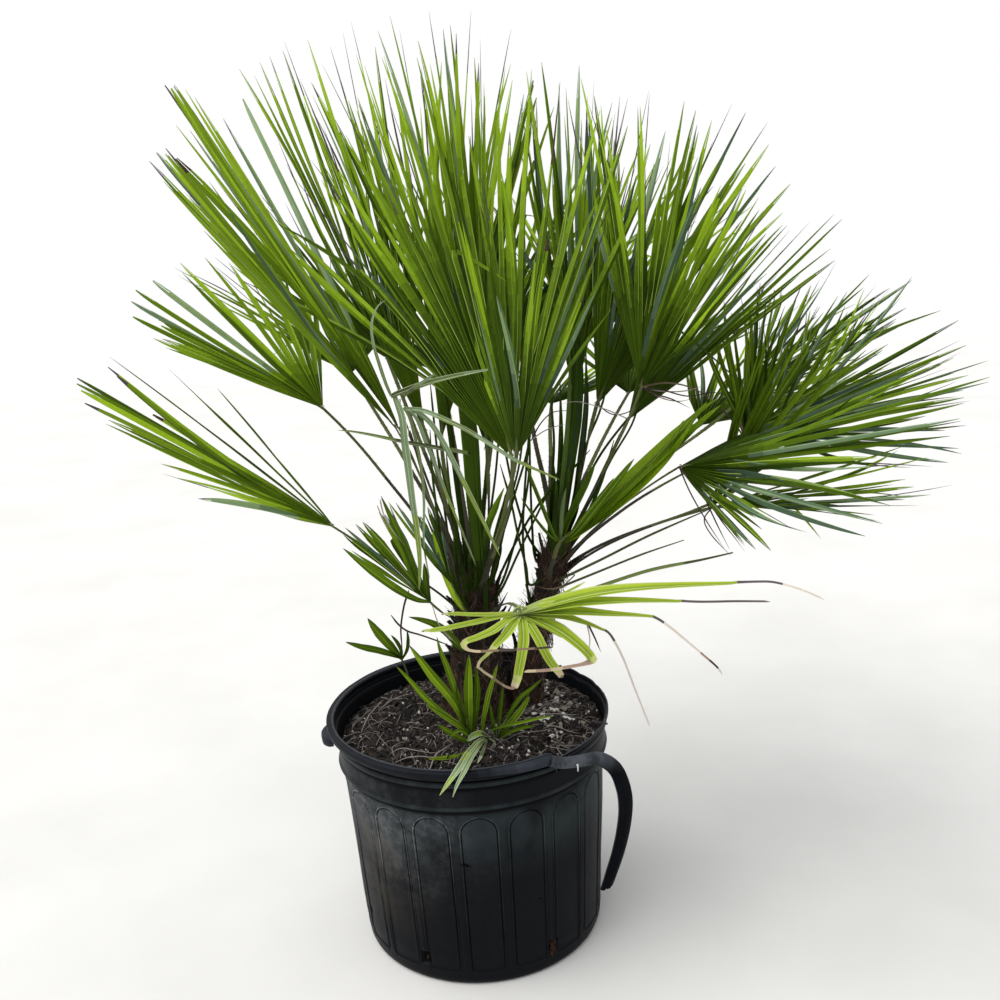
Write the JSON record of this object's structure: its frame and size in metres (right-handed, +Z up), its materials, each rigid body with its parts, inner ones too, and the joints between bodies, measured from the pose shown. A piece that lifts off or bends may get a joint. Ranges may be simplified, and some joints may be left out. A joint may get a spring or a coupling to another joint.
{
  "type": "potted fan palm",
  "caption": "Clump-forming fan palm with pleated fronds on slender stalks, growing in a round black nursery pot.",
  "frame": {"origin": "centre of the pot's flat underside", "axes": "+Z up out of the pot; -Y is the side with the front frond, +X the side with the torn rim strip and the longest fronds"},
  "size_m": [1.3153, 1.1835, 1.3806],
  "materials": {
    "pot_plastic": "moulded, dusty, satin",
    "potting_mix": "rough bark mix",
    "trunk_fibre": "fibrous",
    "stalk_green": "satin",
    "frond_green": "satin, pleated",
    "frond_lime": "satin, pleated",
    "frond_pale": "matt, dry"
  },
  "bodies": {
    "root": {"pot_shell": "pot_plastic", "pot_rim_lip": "pot_plastic", "pot_grip_lug": "pot_plastic", "torn_rim_strip": "pot_plastic", "potting_mix": "potting_mix", "trunk_left": "trunk_fibre", "trunk_right": "trunk_fibre", "stalk_sheath_left": "stalk_green", "stalk_sheath_right": "stalk_green", "stalk_front_centre": "stalk_green", "stalk_front_inner": "stalk_green", "stalk_centre_behind": "stalk_green", "stalk_yellow_low": "stalk_green", "stalk_pale_bent": "stalk_green", "frond_left_low": "frond_green", "frond_left_tall_upper": "frond_green", "frond_left_tall_lower": "frond_green", "frond_right_low": "frond_green", "frond_front_centre": "frond_green", "frond_centre_mid": "frond_green", "frond_centre_back": "frond_green", "frond_right_mid": "frond_green", "frond_right_tall": "frond_green", "frond_right_wide": "frond_green", "frond_left_mid": "frond_green", "frond_yellow_low": "frond_lime", "frond_right_up": "frond_green", "frond_right_far": "frond_green", "frond_right_under": "frond_green", "frond_right_inner": "frond_green", "frond_centre_left_back": "frond_green", "frond_centre_right_back": "frond_green", "frond_right_fore": "frond_green", "frond_front_inner": "frond_green", "frond_centre_behind": "frond_green", "frond_pup_left_outer": "frond_green", "frond_pup_left_inner": "frond_green", "frond_pup_front_left": "frond_green", "frond_pup_front_right": "frond_green", "frond_pup_rim": "frond_green", "frond_pup_over_rim": "frond_green", "frond_back_left_low": "frond_green", "frond_back_left_high": "frond_green", "frond_back_low": "frond_green", "frond_back_high": "frond_green", "frond_back_mid": "frond_green", "frond_back_right_high": "frond_green", "frond_back_right_low": "frond_green", "frond_back_right_far": "frond_green", "frond_back_drop": "frond_green", "frond_pale_bent": "frond_pale"}
  },
  "joints": []
}
